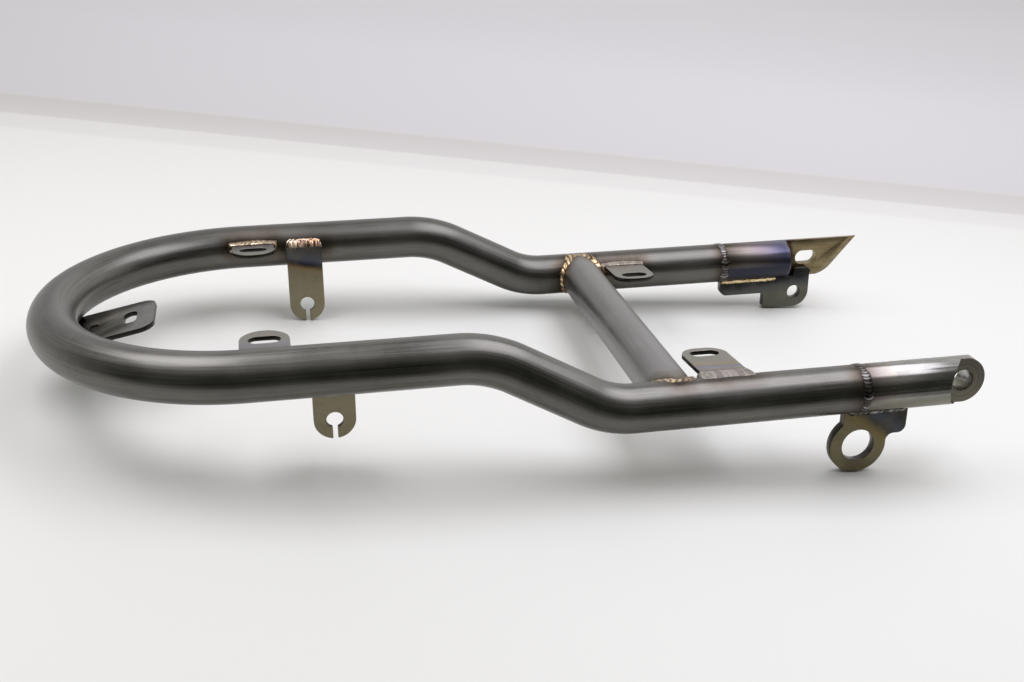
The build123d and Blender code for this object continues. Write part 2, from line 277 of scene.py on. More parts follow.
    def finish(self, colour: object, roughness: object, normal: Socket | None = None,
               metal: float = 1.0) -> bpy.types.Material:
        """Feed the shader and hand over the material.

        Args:
            colour: base colour.
            roughness: roughness.
            normal: relief, if there is any.
            metal: how metallic the surface is.

        Returns:
            The material.
        """
        shader = self.tree.nodes["Principled BSDF"]
        self.feed(shader.inputs["Base Color"], colour)
        self.feed(shader.inputs["Roughness"], roughness)
        shader.inputs["Metallic"].default_value = metal
        if normal is not None:
            self.feed(shader.inputs["Normal"], normal)
        return self.owner


def tinted(g: Graph, reach: Socket, stops: Stops, steel: Socket, fade: float = 0.72) -> Socket:
    """Steel coloured by heat: the ramp's tints up to its end, the bare steel past it."""
    return g.mix(g.fall(reach, fade, 1.0), steel, g.ramp(reach, stops))


@dataclass(frozen=True)
class TubeFinish:
    """Drawn steel tube: dark grey, streaked along its length, blackened and brown at the welds, with painted
    shade on its left side.
    """

    name: str = "drawn_tube"
    pale: Colour = (0.196, 0.192, 0.174)
    deep: Colour = (0.110, 0.108, 0.095)
    # colour of the painted shade that the tube takes towards its left side
    darker_tone: Colour = (0.092, 0.091, 0.080)
    roughness: float = 0.33
    heat_reach: float = 15.0
    heat: Stops = tones((0, 38, 32, 27), (160, 56, 45, 36), (320, 92, 78, 62), (600, 128, 120, 105),
                        (1000, 148, 144, 134))
    heat_waver: float = 7.0
    streak_scale: Point = (11.0, 900.0, 1.0)
    hairline_scale: Point = (55.0, 3400.0, 1.0)
    cloud_scale: float = 24.0
    soot_scale: float = 110.0
    shade_from: float = 20.0 * MM
    shade_to: float = 90.0 * MM
    shade_share: float = 0.38

    def material(self) -> bpy.types.Material:
        """Streaks are noise on the tube's own length and girth; the left rail is darkened with painted shade.

        Returns:
            The material.
        """
        g = Graph.material(self.name)
        along, place = g.coordinates("UV"), g.coordinates("Object")
        streaks = g.noise(along, self.streak_scale, rough=0.62)
        hairlines = g.noise(along, self.hairline_scale, detail=3.0)
        clouds = g.noise(place, self.cloud_scale)
        tone = g.blend((streaks, 0.45), (hairlines, 0.2), (clouds, 0.35))
        steel = g.mix(g.contrast(tone, 0.13), self.deep, self.pale)
        # Painted shade: the tube eases to a darker colour towards +Y, so the far (left) rail looks less lit.
        to_left = g.along(place, LEFTWARDS)
        steel = g.mix(g.spread(to_left, self.shade_from, self.shade_to, 0.0, self.shade_share), steel,
                      self.darker_tone)
        uneven = g.strayed(g.attribute("weld_gap"), g.noise(place, self.soot_scale, 4.0, 0.55),
                           self.heat_waver)
        colour = tinted(g, g.math("DIVIDE", uneven, self.heat_reach), self.heat, steel)
        rough = g.contrast(g.blend((streaks, 0.5), (clouds, 0.5)), 0.15, self.roughness - 0.07,
                           self.roughness + 0.09)
        return g.finish(colour, rough, g.bump(g.blend((streaks, 0.7), (hairlines, 0.3)), 0.6))


@dataclass(frozen=True)
class BarFinish:
    """Turned and milled bar: brighter, smooth along its length, with tool rings on its cut face and painted
    shade underneath.
    """

    name: str
    pale: Colour
    deep: Colour
    rings_about: tuple[float, float]
    face_y: float
    face: Colour
    heat_from: float
    heat_reach: float
    heat: Stops
    shaded_below: float
    # colour of the painted shade on the bar's underside, for the dim shadowed table that it mirrors there
    under_shade: Colour = (0.036, 0.038, 0.052)
    under_shade_ends: float = 0.82
    under_shade_edge: float = 4.0 * MM
    heat_waver: float = 0.16
    heat_fade: float = 0.93
    roughness: float = 0.25
    ring_radius: float = 13.4 * MM
    ring_scale: float = 1100.0
    ring_shade: float = 0.72
    face_depth: float = 0.25 * MM
    mark_scale: Point = (30.0, 900.0, 900.0)
    cloud_scale: Point = (45.0, 110.0, 110.0)

    def material(self) -> bpy.types.Material:
        """Fine marks run along the bar; rings are noise of the distance from the hole, on its face.

        Returns:
            The material.
        """
        g = Graph.material(self.name)
        place = g.coordinates("Object")
        drawn = g.noise(place, self.mark_scale, detail=4.0)
        clouds = g.noise(place, self.cloud_scale)
        offset = g.vector_math("SUBTRACT", place, (self.rings_about[0], 0.0, self.rings_about[1]))
        radius = g.vector_math("LENGTH", g.vector_math("MULTIPLY", offset, (1.0, 0.0, 1.0)),
                               output="Value")
        outwards = g.add("ShaderNodeCombineXYZ", {"X": g.math("MULTIPLY", radius, self.ring_scale)})
        rings = g.noise(outwards, 1.0, detail=2.0)
        off_face = g.math("ABSOLUTE", g.math("SUBTRACT", g.along(place, LEFTWARDS), self.face_y))
        on_face = g.math("MULTIPLY", g.fall(off_face, self.face_depth, 1.6 * self.face_depth),
                         g.fall(radius, self.ring_radius, 1.05 * self.ring_radius))
        tone = g.contrast(g.blend((drawn, 0.35), (clouds, 0.65)), 0.14)
        steel = g.mix(tone, self.deep, self.pale)
        reach = g.math("DIVIDE", g.math("SUBTRACT", g.along(place, FORWARDS), self.heat_from),
                       self.heat_reach)
        colour = tinted(g, g.strayed(reach, clouds, self.heat_waver), self.heat, steel, self.heat_fade)
        # Painted shade: below a height and up to a reach the bar takes a darker colour, standing in for the
        # shadowed table mirrored in its underside.
        lower = g.fall(g.along(place, UPWARDS), self.shaded_below - self.under_shade_edge, self.shaded_below)
        painted_under_shade = g.math("MULTIPLY", g.fall(reach, self.under_shade_ends, 1.04 * self.under_shade_ends), lower)
        colour = g.mix(painted_under_shade, colour, self.under_shade)
        cut = g.mix(g.contrast(rings, 0.1), tuple(self.ring_shade * c for c in self.face), self.face)
        colour = g.mix(on_face, colour, cut)
        marks = g.math("ADD", g.math("MULTIPLY", rings, on_face), g.math("MULTIPLY", drawn, 0.25))
        rough = g.math("MULTIPLY_ADD", on_face, 0.12,
                       g.contrast(drawn, 0.2, self.roughness - 0.05, self.roughness + 0.06))
        return g.finish(colour, rough, g.bump(marks, 0.5))


@dataclass(frozen=True)
class PlateFinish:
    """Cut steel plate with darker cut edges, tinted by heat away from its weld."""

    name: str
    flat: Point
    weld_point: Point
    away: Point
    pale: Colour
    deep: Colour
    heat_reach: float
    heat: Stops
    waver: float = 0.12
    cut_edge: Colour = (0.050, 0.047, 0.040)
    roughness: float = 0.34
    cloud_scale: float = 95.0
    grain_scale: float = 900.0
    mottle: tuple[float, float] = (0.40, 0.62)
    mottle_share: float = 0.28
    edge_facing: tuple[float, float] = (0.35, 0.75)

    def material(self) -> bpy.types.Material:
        """The tint reads the distance from the weld along one direction, made uneven by noise.

        Returns:
            The material.
        """
        g = Graph.material(self.name)
        place = g.coordinates("Object")
        clouds = g.noise(place, self.cloud_scale)
        grain = g.noise(place, self.grain_scale, detail=3.0)
        reach = g.math("DIVIDE", g.along(place, self.away, self.weld_point), self.heat_reach)
        steel = g.mix(g.contrast(clouds, 0.14), self.deep, self.pale)
        colour = tinted(g, g.strayed(reach, clouds, self.waver), self.heat, steel)
        colour = g.mix(g.spread(clouds, *self.mottle, 0.0, self.mottle_share), colour, self.deep)
        facing = g.math("ABSOLUTE", g.along(g.add("ShaderNodeNewGeometry", output="Normal"), self.flat))
        colour = g.mix(g.spread(facing, *self.edge_facing), self.cut_edge, colour)
        rough = g.contrast(g.blend((grain, 0.5), (clouds, 0.5)), 0.15, self.roughness - 0.06,
                           self.roughness + 0.1)
        return g.finish(colour, rough, g.bump(g.blend((grain, 0.4), (clouds, 0.6)), 0.4))


@dataclass(frozen=True)
class BeadFinish:
    """Weld metal: scales of gold, pink and bare steel, a painted highlight on each crest, painted shade
    between them, and dark at the toes.
    """

    name: str
    bright: Colour
    tint: Colour
    # colour of the painted shade between scales and of the dark toes
    dark: Colour = (0.085, 0.062, 0.045)
    dark_share: float = 0.42
    roughness: float = 0.26
    speck_scale: float = 420.0
    cloud_scale: float = 150.0
    speck_depth: float = 0.1 * MM
    toe_edge: tuple[float, float] = (0.95, 1.30)

    def material(self) -> bpy.types.Material:
        """Each scale has its own patch value; its crest gets a painted highlight, its root painted shade, and
        its toes are dark.

        Returns:
            The material.
        """
        g = Graph.material(self.name)
        place = g.coordinates("Object")
        specks = g.noise(place, self.speck_scale, 3.0, 0.55)
        clouds = g.noise(place, self.cloud_scale, 4.0, 0.55)
        warm = g.mix(g.contrast(g.blend((g.attribute("patch"), 0.5), (clouds, 0.5)), 0.2),
                     self.tint, self.bright)
        # Painted highlight and shade: each scale is lit at its crest and darkened at its root, on top of the
        # bead's real ripples.
        shade = g.blend((g.attribute("crest"), 0.5), (specks, 0.3), (clouds, 0.2))
        colour = g.mix(g.spread(shade, self.dark_share - 0.12, self.dark_share + 0.14), self.dark, warm)
        toe = g.blend((g.attribute("toe"), 1.0), (specks, 0.5))
        colour = g.mix(g.spread(toe, *self.toe_edge), colour, self.dark)
        rough = g.contrast(specks, 0.2, self.roughness - 0.08, self.roughness + 0.14)
        return g.finish(colour, rough, g.bump(specks, 0.6, self.speck_depth))


def unit(vectors: np.ndarray) -> np.ndarray:
    """Vectors scaled to length one, along the last axis."""
    return vectors / np.maximum(np.linalg.norm(vectors, axis=-1, keepdims=True), NO_LENGTH)


def lengths_along(line: np.ndarray) -> np.ndarray:
    """Length from a line's first point to each of its points."""
    return np.append(0.0, np.cumsum(np.linalg.norm(np.diff(line, axis=0), axis=1)))


def angles_round(count: int) -> np.ndarray:
    """Evenly spaced angles once round, the last a step short of the full turn."""
    return np.linspace(0.0, 2 * math.pi, count, endpoint=False)


def linked(name: str, data: bpy.types.ID) -> bpy.types.Object:
    """Make an object of that data, link it into the scene and report it."""
    made = bpy.data.objects.new(name, data)
    bpy.context.scene.collection.objects.link(made)
    log.info("%s is in the scene", name)
    return made


@dataclass
class Grid:
    """A sheet of points, rows by columns by three, whose neighbours are joined by quads."""

    points: np.ndarray
    wrap_rows: bool = False
    uv: np.ndarray | None = None
    numbers: dict[str, np.ndarray] = field(default_factory=dict)

    def places(self) -> tuple[np.ndarray, np.ndarray]:
        """Row and column of every quad's first corner; columns always wrap round."""
        rows, columns = self.points.shape[:2]
        return np.meshgrid(np.arange(rows if self.wrap_rows else rows - 1), np.arange(columns),
                           indexing="ij")

    def quads(self) -> np.ndarray:
        """Number the corners of the quads.

        Returns:
            The corners' numbers, four to a row.
        """
        rows, columns = self.points.shape[:2]
        r, c = self.places()
        r2, c2 = (r + 1) % rows, (c + 1) % columns
        corners = [r * columns + c, r * columns + c2, r2 * columns + c2, r2 * columns + c]
        return np.stack(corners, -1).reshape(-1, 4)

    def corner_uv(self) -> np.ndarray:
        """UV of each quad's corners, from a UV grid one column wider than the points."""
        r, c = self.places()
        return np.stack([self.uv[r, c], self.uv[r, c + 1], self.uv[r + 1, c + 1], self.uv[r + 1, c]], 2)


def skin_of(name: str, grids: Sequence[Grid], material: bpy.types.Material) -> bpy.types.Object:
    """Make one object of closed skins from grids of points.

    Open ends are filled, doubles are merged and every face is pointed outwards.

    Args:
        name: name of the new object.
        grids: the sheets of points, all with the same named numbers.
        material: its finish.

    Returns:
        The object, riding on the body.
    """
    counts = [grid.points.shape[0] * grid.points.shape[1] for grid in grids]
    starts = np.concatenate([[0], np.cumsum(counts)[:-1]])
    faces = np.concatenate([grid.quads() + start for grid, start in zip(grids, starts)])
    mesh = bpy.data.meshes.new(name)
    mesh.vertices.add(sum(counts))
    flat = np.concatenate([grid.points.reshape(-1) for grid in grids])
    mesh.vertices.foreach_set("co", flat.astype(np.float32))
    mesh.loops.add(faces.size)
    mesh.loops.foreach_set("vertex_index", faces.reshape(-1).astype(np.int32))
    mesh.polygons.add(len(faces))
    mesh.polygons.foreach_set("loop_start", np.arange(0, faces.size, 4, dtype=np.int32))
    if grids[0].uv is not None:
        layer = mesh.uv_layers.new(name="along")
        layer.data.foreach_set("uv", grids[0].corner_uv().reshape(-1).astype(np.float32))
    mesh.update(calc_edges=True)
    for key in grids[0].numbers:
        kept = mesh.attributes.new(key, "FLOAT", "POINT")
        values = np.concatenate([grid.numbers[key].reshape(-1) for grid in grids])
        kept.data.foreach_set("value", values.astype(np.float32))
    shape = bmesh.new()
    shape.from_mesh(mesh)
    bmesh.ops.remove_doubles(shape, verts=shape.verts, dist=SKIN_DOUBLES)
    bmesh.ops.holes_fill(shape, edges=shape.edges, sides=0)
    bmesh.ops.recalc_face_normals(shape, faces=shape.faces)
    shape.to_mesh(mesh)
    shape.free()
    mesh.polygons.foreach_set("use_smooth", np.ones(len(mesh.polygons), bool))
    mesh.materials.append(material)
    made = linked(name, mesh)
    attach(made, BODY)
    return made


def broken_edge_copy(node: str, material: bpy.types.Material,
                     edge: float = 0.3 * MM) -> bpy.types.Object:
    """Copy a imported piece, merge its loose triangles, break its sharp edges and dress it.

    Faces are flat unless a neighbour bends away gently, as round a hole.

    Args:
        node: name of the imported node.
        material: its finish.
        edge: width of the broken edge in metres.

    Returns:
        The copy, which stands for the node.
    """
    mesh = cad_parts[node].data.copy()
    mesh.name = node + "_dressed"
    shape = bmesh.new()
    shape.from_mesh(mesh)
    bmesh.ops.remove_doubles(shape, verts=shape.verts, dist=COPY_DOUBLES)
    bmesh.ops.dissolve_limit(shape, angle_limit=COPLANAR, verts=shape.verts, edges=shape.edges)
    for face in shape.faces:
        face.smooth = any(GENTLE < line.calc_face_angle(0.0) < SHARP for line in face.edges)
    shape.to_mesh(mesh)
    shape.free()
    mesh.materials.clear()
    mesh.materials.append(material)
    made = linked(node + "_dressed", mesh)
    bevel = made.modifiers.new("broken_edge", "BEVEL")
    bevel.width = edge
    bevel.segments = 2
    bevel.limit_method = "ANGLE"
    bevel.angle_limit = SHARP
    bevel.harden_normals = True
    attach(made, BODY)
    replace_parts(made, node)
    return made


@dataclass
class WeldLines:
    """Points along every weld's root, from which the tubes take their heat tint.

    To save time only every third kept point is compared, in blocks of 64.
    """

    points: list[np.ndarray] = field(default_factory=list)
    every: int = 3
    block: int = 64

    def add(self, line: np.ndarray) -> None:
        """Keep another line of points."""
        self.points.append(line.reshape(-1, 3))

    def distance(self, where: np.ndarray) -> np.ndarray:
        """Measure from each place to the nearest kept point.

        Args:
            where: the places.

        Returns:
            Their distances in millimetres.
        """
        kept = np.concatenate(self.points)[::self.every]
        flat = where.reshape(-1, 3)
        nearest = np.full(len(flat), np.inf)
        for some in np.array_split(kept, max(1, len(kept) // self.block)):
            gap = np.linalg.norm(flat[:, None, :] - some[None, :, :], axis=2).min(axis=1)
            nearest = np.minimum(nearest, gap)
        return nearest.reshape(where.shape[:-1]) / MM


@dataclass
class Tube:
    """A round steel tube, tinted at the welds: what the bent loop and the cross tube share."""

    finish: TubeFinish
    welds: WeldLines
    sizes: LoopSizes = SIZES
    around: int = 96

    def skin(self, name: str, points: np.ndarray, lengths: np.ndarray) -> bpy.types.Object:
        """Close rings of points into a tube with its length and its girth as UV.

        Args:
            name: name of the piece.
            points: the rings of points.
            lengths: length along the tube at each ring.

        Returns:
            The tube, with every point's distance from the welds.
        """
        girth = np.linspace(0.0, 2 * math.pi * self.sizes.tube_radius, self.around + 1)
        uv = np.stack(np.meshgrid(lengths, girth, indexing="ij"), -1)
        grid = Grid(points, uv=uv, numbers={"weld_gap": self.welds.distance(points)})
        tube = skin_of(name, [grid], self.finish.material())
        return tube


@dataclass
class BentLoop(Tube):
    """The one length of tube that makes the hoop, the rails and the bends."""

    step: float = 1.4 * MM
    too_close: float = 0.07 * MM

    def rail(self, side: Side) -> tuple[np.ndarray, list[float]]:
        """Give one rail's centre line, from its joint back to the hoop.

        Args:
            side: which rail.

        Returns:
            The line's corners and the radii of its bends.
        """
        s, y = self.sizes, side.value
        corners = np.array([
            (s.joint_x, y * s.front_half, s.front_z),
            (s.lower_bend_x, y * s.front_half, s.front_z),
            (s.upper_bend_x, y * s.rear_half, s.rear_z),
            (s.hoop_x, y * s.rear_half, s.rear_z),
        ])
        return corners, [s.lower_bend_radius, s.upper_bend_radius]

    def arc(self, start: np.ndarray, centre: np.ndarray, normal: np.ndarray, turn: float) -> np.ndarray:
        """Turn a start point about a centre by even angles, up to the full turn.

        Args:
            start: where the arc starts.
            centre: its centre.
            normal: the axis that it turns about.
            turn: the full turn in radians.

        Returns:
            Points on the arc.
        """
        count = max(3, int(abs(turn) * np.linalg.norm(start - centre) / self.step))
        angle = np.linspace(0.0, turn, count)[:, None]
        reach = (start - centre)[None, :]
        across = np.cross(normal, start - centre)[None, :]
        return centre + reach * np.cos(angle) + across * np.sin(angle)

    def straight(self, start: np.ndarray, end: np.ndarray) -> np.ndarray:
        """Evenly spaced points from start to end."""
        count = max(2, int(np.linalg.norm(end - start) / self.step))
        return start + (end - start) * np.linspace(0.0, 1.0, count)[:, None]

    def filleted(self, corners: np.ndarray, radii: Sequence[float]) -> np.ndarray:
        """Follow corners with a tangent arc at each inner one.

        Args:
            corners: the line's corners.
            radii: radius of the arc at each inner corner.

        Returns:
            Points along the line.
        """
        runs: list[np.ndarray] = []
        at = corners[0]
        for before, corner, after, radius in zip(corners, corners[1:], corners[2:], radii):
            inward, outward = unit(corner - before), unit(after - corner)
            turn = math.acos(float(np.clip(inward @ outward, -1.0, 1.0)))
            cut = radius * math.tan(turn / 2)
            first = corner - inward * cut
            axis = unit(np.cross(inward, outward))
            centre = first + np.cross(axis, inward) * radius
            runs += [self.straight(at, first), self.arc(first, centre, axis, turn)]
            at = corner + outward * cut
        runs.append(self.straight(at, corners[-1]))
        return np.concatenate(runs)

    def centre_line(self) -> np.ndarray:
        """Join the right rail, the hoop and the left rail, with no point twice.

        Returns:
            Points along the whole centre line.
        """
        s = self.sizes
        right = self.filleted(*self.rail(Side.RIGHT))
        left = self.filleted(*self.rail(Side.LEFT))[::-1]
        middle = np.array([s.hoop_x, 0.0, s.rear_z])
        hoop = self.arc(right[-1], middle, np.array([0.0, 0.0, -1.0]), math.pi)
        line = np.concatenate([right, hoop, left])
        return line[np.append(True, np.diff(lengths_along(line)) > self.too_close)]

    def rings(self) -> tuple[np.ndarray, np.ndarray]:
        """Carry the round section along the centre line.

        The section's up is +Z made square to the line, so it never twists.

        Returns:
            The grid of points and the length along the line of each ring.
        """
        line = self.centre_line()
        along = unit(np.gradient(line, axis=0))
        up = unit(np.array([0.0, 0.0, 1.0]) - along * along[:, 2:3])
        across = np.cross(along, up)
        angle = angles_round(self.around)[None, :, None] + math.pi
        ring = up[:, None, :] * np.cos(angle) + across[:, None, :] * np.sin(angle)
        return line[:, None, :] + ring * self.sizes.tube_radius, lengths_along(line)

    def build(self) -> None:
        """Make the tube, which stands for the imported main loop."""
        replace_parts(self.skin("bent_tube", *self.rings()), "main_loop")


@dataclass
class CrossTube(Tube):
    """The straight tube between the front rails, coped to them at both ends."""

    rows: int = 140
    cope_trim: float = 2.0 * MM
    streaks_from: float = 3.0

    def build(self) -> None:
        """Make the tube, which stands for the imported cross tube.

        Each end follows the rail's round: y is the spacing less the rail's half chord.
        """
        s = self.sizes
        angle = angles_round(self.around) - math.pi / 2
        half_chord = np.maximum(np.abs(np.cos(angle)) * s.tube_radius, self.cope_trim)
        share = np.linspace(-1.0, 1.0, self.rows)[:, None]
        points = np.stack(np.broadcast_arrays(
            s.cross_x + np.cos(angle) * s.tube_radius, share * (s.front_half - half_chord),
            s.front_z + np.sin(angle) * s.tube_radius), -1)
        tube = self.skin("cross_tube_skin", points, share[:, 0] * s.front_half + self.streaks_from)
        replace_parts(tube, "cross_tube")


@dataclass(frozen=True)
class BeadLook:
    """How a bead was laid.

    Bulge, pitch and ripple are its rise, the length of a scale and the scale's depth;
    wander is how far its width strays, slant how many scales it leans across its face.
    The seed sets its chance waves, strengths and patches.
    """

    bulge: float
    pitch: float
    seed: int
    ripple: float = 0.22 * MM
    wander: float = 0.45 * MM
    slant: float = 0.0


@dataclass(frozen=True)
class Seam:
    """Three matching lines of points: the corner that a bead fills and its two toes.

    Calm evens out the waves of its width; bow is how far its scales bow, and stagger how
    far they stray along an open run, both in scales.
    """

    root: np.ndarray
    toe_a: np.ndarray
    toe_b: np.ndarray
    closed: bool = True
    calm: float = 2.5
    bow: float = 0.5
    stagger: float = 0.3

    def skin(self, look: BeadLook, across: int = 17) -> Grid:
        """Lay rippled weld metal between the toes.

        The face bulges out from the chord between the toes by a parabola. The run is
        cut into scales: within each one the height is one less the square of the
        distance from its middle, and each has its own strength and patch value. Scales
        bow back towards the middle of the face. An open bead rounds off at its ends.

        Args:
            look: how the bead was laid.
            across: points over the bead's face.

        Returns:
            The closed skin with its crest, toe and patch values.
        """
        chance = np.random.default_rng(look.seed)
        rows = len(self.root)
        length = lengths_along(self.root)
        total = length[-1] + (np.linalg.norm(self.root[0] - self.root[-1]) if self.closed else 0.0)
        scales = max(2, round(total / look.pitch))
        around = length / total
        turns = 2 * math.pi * np.arange(2, 12)[:, None]
        waves = np.sin(turns * around[None, :] + chance.uniform(0, 2 * math.pi, turns.shape))
        wobble = (chance.uniform(-1, 1, turns.shape) * waves).sum(axis=0) / self.calm
        face = np.linspace(0.0, 1.0, across)[None, :]
        middle = (self.toe_a + self.toe_b) / 2
        crown = unit(middle - self.root)
        widen = 1.0 + wobble * look.wander / np.linalg.norm(self.toe_b - self.toe_a, axis=1)
        first = middle + (self.toe_a - middle) * widen[:, None]
        second = middle + (self.toe_b - middle) * widen[:, None]
        arch = 4.0 * face * (1.0 - face)
        phase = around[:, None] * scales + self.bow * arch + look.slant * (face - 0.5)
        if not self.closed:
            phase = phase + self.stagger * np.roll(wobble, rows // 3)[:, None]
        scale = np.floor(phase)
        within = 1.0 - (2.0 * (phase - scale) - 1.0) ** 2
        which = scale.astype(int) % scales
        strength = chance.uniform(0.5, 1.0, scales)[which]
        patch = chance.uniform(0.0, 1.0, scales)[which]
        lift = look.bulge * arch * (1.0 + 0.25 * wobble[:, None])
        lift = lift + look.ripple * (within * strength - 0.5) * np.sqrt(arch)
        skin = (first[:, None, :] * (1 - face[..., None]) + second[:, None, :] * face[..., None]
                + crown[:, None, :] * lift[..., None])
        skin = np.concatenate([skin, self.root[:, None, :]], axis=1)
        if not self.closed:
            cap = np.linalg.norm(self.toe_b - self.toe_a, axis=1).mean() * 0.5
            inset = np.clip(np.minimum(length, total - length) / cap, 0.0, 1.0)
            shrink = np.sqrt(1.0 - (1.0 - inset) ** 2)[:, None, None]
            skin = self.root[:, None, :] + (skin - self.root[:, None, :]) * shrink
        full = (rows, across)
        inner, outer = np.zeros((rows, 1)), np.ones((rows, 1))
        numbers = {
            "crest": np.concatenate([within * strength, inner], axis=1),
            "toe": np.concatenate([np.broadcast_to(1 - arch, full), outer], axis=1),
            "patch": np.concatenate([patch, inner], axis=1),
        }
        return Grid(skin, wrap_rows=self.closed, numbers=numbers)


def lay_bead(weld: str, seams: Sequence[Seam], look: BeadLook, metal: BeadFinish,
             piece: str = "") -> np.ndarray:
    """Lay one piece of weld metal along one or more seams.

    Args:
        weld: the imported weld's name without its last word.
        seams: where the bead runs.
        look: how it was laid.
        metal: finish of the weld metal.
        piece: the new piece's name without its last word, if it isn't the weld's.

    Returns:
        The points of its roots, for the heat tint.
    """
    bead = skin_of((piece or weld) + "_bead", [seam.skin(look) for seam in seams], metal.material())
    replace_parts(bead, weld + "_weld")
    return np.concatenate([seam.root for seam in seams])


def run_along(start: Sequence[float], end: Sequence[float], spacing: float = 0.25 * MM) -> np.ndarray:
    """Evenly spaced points from one place to another."""
    a, b = np.array(start, float), np.array(end, float)
    count = max(12, int(np.linalg.norm(b - a) / spacing))
    return a + (b - a) * np.linspace(0.0, 1.0, count)[:, None]


@dataclass
class JointBead:
    """The bead round each rail where its end fitting is plugged in."""

    side: Side
    metal: BeadFinish
    sizes: LoopSizes = SIZES
    width: float = 4.8 * MM
    sunk: float = 0.6 * MM
    rows: int = 420
    seed: int = 3

    def build(self) -> np.ndarray:
        """Lay the bead on a ring: both toes lie on the tube's round.

        Returns:
            The line of its middle, for the heat tint.
        """
        s, angle = self.sizes, angles_round(self.rows)
        ring = np.stack([np.zeros(self.rows), np.sin(angle), np.cos(angle)], -1)
        centre = np.array([s.joint_x, self.side.value * s.front_half, s.front_z])
        on_tube = centre + ring * s.tube_radius
        half = np.array([self.width / 2, 0.0, 0.0])
        seam = Seam(centre + ring * (s.tube_radius - self.sunk), on_tube - half, on_tube + half)
        look = BeadLook(bulge=0.5 * MM, pitch=1.9 * MM, ripple=0.09 * MM, wander=1.5 * MM,
                        seed=self.seed + self.side.value)
        lay_bead(f"{self.side.hand}_joint", [seam], look, self.metal)
        return on_tube


@dataclass
class CrossBead:
    """The fillet bead where the cross tube's coped end meets a rail."""

    side: Side
    metal: BeadFinish
    sizes: LoopSizes = SIZES
    leg: float = 2.4 * MM
    rows: int = 480
    seed: int = 11

    def saddle(self, radius: float, back: float) -> np.ndarray:
        """Points on the rail's round over a circle of that radius, drawn back towards the middle."""
        s, angle = self.sizes, angles_round(self.rows)
        height = np.clip(radius * np.sin(angle), -s.tube_radius, s.tube_radius)
        y = self.side.value * (s.front_half - s.chord(height) - back)
        return np.stack([s.cross_x + radius * np.cos(angle), y, s.front_z + height], -1)

    def build(self) -> np.ndarray:
        """Lay the bead on the saddle where the two equal rounds meet.

        Returns:
            The root line, for the heat tint.
        """
        radius = self.sizes.tube_radius
        seam = Seam(self.saddle(radius, 0.0), self.saddle(radius, self.leg),
                    self.saddle(radius + self.leg, 0.0))
        look = BeadLook(bulge=0.7 * MM, pitch=3.9 * MM, ripple=0.24 * MM, wander=0.9 * MM,
                        seed=self.seed + self.side.value)
        hand = self.side.hand
        return lay_bead(f"cross_tube_{hand}", [seam], look, self.metal, f"cross_{hand}")


@dataclass
class SeatTab:
    """A slotted seat tab on the inner side of a rail, with the bead that takes its root's place.

    The tab ends short of the rail. The bead's toe on the rail stands a leg out from the
    tab's section; its toe on the plate laps the plate, a little wider and thicker than it.
    """

    side: Side
    place: str
    x: float
    top: float
    width: float
    reach: float
    tilt: float
    look: BeadLook
    metal: BeadFinish
    tint: Stops
    thickness: float = 2.5 * MM
    short_by: float = 3.2 * MM
    lap: float = 0.8 * MM
    rail_leg: float = 2.6 * MM
    leg_lean: float = 0.12
    wider: float = 1.02
    thicker: float = 1.2
    heat_reach: float = 16.0 * MM
    sizes: LoopSizes = SIZES
    rows: int = 300

    def height(self, y_in: np.ndarray | float) -> np.ndarray | float:
        """Height of the middle of the tab's thickness above the rail's centre, that far inwards of it."""
        slope = self.side.value * math.tan(math.radians(self.tilt))
        return self.top - self.thickness / 2 - self.sizes.level(self.place) - slope * (self.reach - y_in)

    def placed(self, x: np.ndarray, y_in: np.ndarray, z: np.ndarray) -> np.ndarray:
        """Points from their places along the rail, inwards of its centre and above it."""
        s = self.sizes
        return np.stack([self.x + x, self.side.value * (s.half(self.place) - y_in),
                         s.level(self.place) + z], -1)

    def on_rail(self, x: np.ndarray, z: np.ndarray, climb: np.ndarray | float = 0.0) -> np.ndarray:
        """Points of the tab's section on the rail's round, gone round it by the climb."""
        radius = self.sizes.tube_radius
        angle = np.arcsin(np.clip((self.height(radius / 2) + z) / radius, -1.0, 1.0)) + climb / radius
        return self.placed(x, radius * np.cos(angle), radius * np.sin(angle))

    def on_plate(self, x: np.ndarray, z: np.ndarray) -> np.ndarray:
        """Points of the tab's section just past the plate's end, which is cut round the rail."""
        round_end = self.sizes.tube_radius + self.short_by
        rise = self.height(round_end / 2) + z
        y_in = np.sqrt(round_end ** 2 - rise ** 2) + self.lap
        return self.placed(x, y_in, self.height(y_in) + z)

    def weld(self) -> np.ndarray:
        """Lay the bead on the outline of the tab's section, carried across to the rail's round.

        Returns:
            The root line, for the heat tint.
        """
        across, up = self.width / 2, self.thickness / 2
        angle = angles_round(self.rows)
        square = np.maximum(np.abs(np.cos(angle)) / across, np.abs(np.sin(angle)) / up)
        x, z = np.cos(angle) / square, np.sin(angle) / square
        out = unit(np.stack([x * self.leg_lean, z], -1)) * self.rail_leg
        seam = Seam(self.on_rail(x, z), self.on_plate(self.wider * x, self.thicker * z),
                    self.on_rail(x + out[:, 0], z, out[:, 1]))
        return lay_bead(f"{self.place}_{self.side.hand}_seat", [seam], self.look, self.metal)

    def plate(self) -> None:
        """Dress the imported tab; its tint runs from the bead's toe towards the slot."""
        s, y = self.sizes, self.side.value
        name = f"{self.place}_{self.side.hand}_seat_tab"
        toe = s.half(self.place) - s.chord(self.top - s.level(self.place)) - self.short_by
        finish = PlateFinish(name + "_steel", UPWARDS, (self.x, y * toe, 0.0), (0.06, -y, 0.0),
                             pale=(0.275, 0.262, 0.225), deep=(0.215, 0.202, 0.168),
                             heat_reach=self.heat_reach, heat=self.tint)
        broken_edge_copy(name, finish.material())


